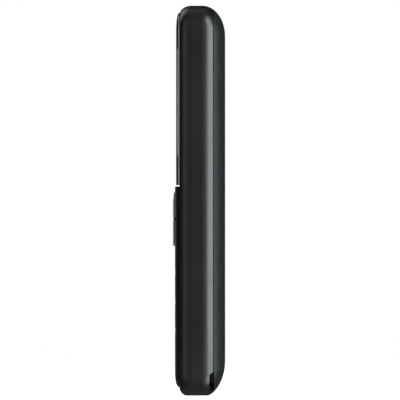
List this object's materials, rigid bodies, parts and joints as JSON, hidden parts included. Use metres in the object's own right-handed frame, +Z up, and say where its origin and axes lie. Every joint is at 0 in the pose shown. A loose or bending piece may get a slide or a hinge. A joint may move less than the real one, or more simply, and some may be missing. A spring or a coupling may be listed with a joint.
{
  "type": "bar mobile phone",
  "caption": "Deep black bar phone with a display window above raised navigation keys and a number keypad, a lift-off battery cover, and spring-back keys that press inwards.",
  "frame": {"origin": "middle of the bottom end, in the plane the phone stands on, half way through its whole depth", "axes": "+Z up the length to the earpiece end, -Y out of the front with the keys, +Y out of the back, +X to the right hand of someone who looks at the keys"},
  "size_m": [0.048, 0.0152, 0.114],
  "materials": {
    "shell_plastic": "satin moulded black",
    "cover_plastic": "soft matte black",
    "clear_acrylic": "clear, polished",
    "black_acrylic": "gloss black",
    "panel_plastic": "gloss black",
    "metallic_key_paint": "dark metallic grey lacquer",
    "number_key_plastic": "satin black with white marks",
    "silicone_rubber": "matte grey",
    "black_foam": "matte black foam",
    "adhesive_tape": "matte black",
    "woven_steel": "fine woven",
    "spring_steel": "bright",
    "tinned_steel": "dull bright",
    "white_plastic": "white light guide frame",
    "display_glass": "dark, switched off",
    "flexible_circuit": "amber film",
    "capsule_metal": "black",
    "circuit_board": "green solder mask",
    "holder_plastic": "matte black",
    "gold_plated_brass": "gold plated",
    "chassis_plastic": "dark grey",
    "zinc_plated_steel": "zinc plated",
    "battery_wrap": "cell in a dark grey sleeve",
    "heavy_metal": "sintered"
  },
  "bodies": {
    "handset": {"main_shell": "shell_plastic", "display_window": "clear_acrylic", "top_bezel": "black_acrylic", "lower_bezel": "black_acrylic", "keypad_frame": "panel_plastic", "nav_plate": "panel_plastic", "keymat": "silicone_rubber", "microphone_boot": "silicone_rubber", "display_gasket": "black_foam", "loudspeaker_gasket": "black_foam", "lens_tape": "adhesive_tape", "earpiece_mesh": "woven_steel", "key_domes": "spring_steel", "shield_cans": "tinned_steel", "charge_socket": "tinned_steel", "vibration_motor": "tinned_steel", "display_tray": "white_plastic", "display_panel": "display_glass", "display_ribbon": "flexible_circuit", "earpiece": "capsule_metal", "microphone": "capsule_metal", "loudspeaker": "capsule_metal", "main_board": "circuit_board", "sim_holder": "holder_plastic", "battery_connector": "holder_plastic", "antenna_carrier": "holder_plastic", "battery_contacts": "gold_plated_brass", "antenna_plate": "gold_plated_brass", "chassis": "chassis_plastic", "case_screws": "zinc_plated_steel", "battery": "battery_wrap"},
    "battery_cover": {"battery_cover": "cover_plastic"},
    "nav_pad": {"nav_pad": "silicone_rubber"},
    "nav_ring": {"nav_ring": "metallic_key_paint"},
    "select_key": {"select_key": "metallic_key_paint"},
    "motor_weight": {"motor_weight": "heavy_metal"},
    "soft_key_left": {"soft_key_left": "metallic_key_paint"},
    "soft_key_right": {"soft_key_right": "metallic_key_paint"},
    "call_key": {"call_key": "metallic_key_paint"},
    "end_key": {"end_key": "metallic_key_paint"},
    "key_1": {"key_1": "number_key_plastic"},
    "key_2": {"key_2": "number_key_plastic"},
    "key_3": {"key_3": "number_key_plastic"},
    "key_4": {"key_4": "number_key_plastic"},
    "key_5": {"key_5": "number_key_plastic"},
    "key_6": {"key_6": "number_key_plastic"},
    "key_7": {"key_7": "number_key_plastic"},
    "key_8": {"key_8": "number_key_plastic"},
    "key_9": {"key_9": "number_key_plastic"},
    "key_star": {"key_star": "number_key_plastic"},
    "key_0": {"key_0": "number_key_plastic"},
    "key_hash": {"key_hash": "number_key_plastic"}
  },
  "joints": [
    {"name": "cover_lift", "type": "slide", "parent": "handset", "child": "battery_cover", "axis": [0, 1, 0], "range_m": [0, 0.02]},
    {"name": "nav_up_down", "type": "hinge", "parent": "handset", "child": "nav_pad", "pos_m": [0, -0.00487, 0.05162], "axis": [1, 0, 0], "range_deg": [-2, 2], "stiffness_Nm_per_rad": 0.15},
    {"name": "nav_left_right", "type": "hinge", "parent": "nav_pad", "child": "nav_ring", "pos_m": [0, -0.00599, 0.05162], "axis": [0, 0, 1], "range_deg": [-2, 2], "stiffness_Nm_per_rad": 0.15},
    {"name": "motor_spin", "type": "hinge", "parent": "handset", "child": "motor_weight", "pos_m": [0.0154, 0.00384, 0.07055], "axis": [1, 0, 0], "continuous": true},
    {"name": "select_key_press", "type": "slide", "parent": "handset", "child": "select_key", "axis": [0, 1, 0], "range_m": [0, 0.00035], "stiffness_N_per_m": 400, "springref_m": -0.002},
    {"name": "soft_key_left_press", "type": "slide", "parent": "handset", "child": "soft_key_left", "axis": [0, 1, 0], "range_m": [0, 0.00035], "stiffness_N_per_m": 400, "springref_m": -0.002},
    {"name": "soft_key_right_press", "type": "slide", "parent": "handset", "child": "soft_key_right", "axis": [0, 1, 0], "range_m": [0, 0.00035], "stiffness_N_per_m": 400, "springref_m": -0.002},
    {"name": "call_key_press", "type": "slide", "parent": "handset", "child": "call_key", "axis": [0, 1, 0], "range_m": [0, 0.00035], "stiffness_N_per_m": 400, "springref_m": -0.002},
    {"name": "end_key_press", "type": "slide", "parent": "handset", "child": "end_key", "axis": [0, 1, 0], "range_m": [0, 0.00035], "stiffness_N_per_m": 400, "springref_m": -0.002},
    {"name": "key_1_press", "type": "slide", "parent": "handset", "child": "key_1", "axis": [0, 1, 0], "range_m": [0, 0.00035], "stiffness_N_per_m": 400, "springref_m": -0.002},
    {"name": "key_2_press", "type": "slide", "parent": "handset", "child": "key_2", "axis": [0, 1, 0], "range_m": [0, 0.00035], "stiffness_N_per_m": 400, "springref_m": -0.002},
    {"name": "key_3_press", "type": "slide", "parent": "handset", "child": "key_3", "axis": [0, 1, 0], "range_m": [0, 0.00035], "stiffness_N_per_m": 400, "springref_m": -0.002},
    {"name": "key_4_press", "type": "slide", "parent": "handset", "child": "key_4", "axis": [0, 1, 0], "range_m": [0, 0.00035], "stiffness_N_per_m": 400, "springref_m": -0.002},
    {"name": "key_5_press", "type": "slide", "parent": "handset", "child": "key_5", "axis": [0, 1, 0], "range_m": [0, 0.00035], "stiffness_N_per_m": 400, "springref_m": -0.002},
    {"name": "key_6_press", "type": "slide", "parent": "handset", "child": "key_6", "axis": [0, 1, 0], "range_m": [0, 0.00035], "stiffness_N_per_m": 400, "springref_m": -0.002},
    {"name": "key_7_press", "type": "slide", "parent": "handset", "child": "key_7", "axis": [0, 1, 0], "range_m": [0, 0.00035], "stiffness_N_per_m": 400, "springref_m": -0.002},
    {"name": "key_8_press", "type": "slide", "parent": "handset", "child": "key_8", "axis": [0, 1, 0], "range_m": [0, 0.00035], "stiffness_N_per_m": 400, "springref_m": -0.002},
    {"name": "key_9_press", "type": "slide", "parent": "handset", "child": "key_9", "axis": [0, 1, 0], "range_m": [0, 0.00035], "stiffness_N_per_m": 400, "springref_m": -0.002},
    {"name": "key_star_press", "type": "slide", "parent": "handset", "child": "key_star", "axis": [0, 1, 0], "range_m": [0, 0.00035], "stiffness_N_per_m": 400, "springref_m": -0.002},
    {"name": "key_0_press", "type": "slide", "parent": "handset", "child": "key_0", "axis": [0, 1, 0], "range_m": [0, 0.00035], "stiffness_N_per_m": 400, "springref_m": -0.002},
    {"name": "key_hash_press", "type": "slide", "parent": "handset", "child": "key_hash", "axis": [0, 1, 0], "range_m": [0, 0.00035], "stiffness_N_per_m": 400, "springref_m": -0.002}
  ]
}
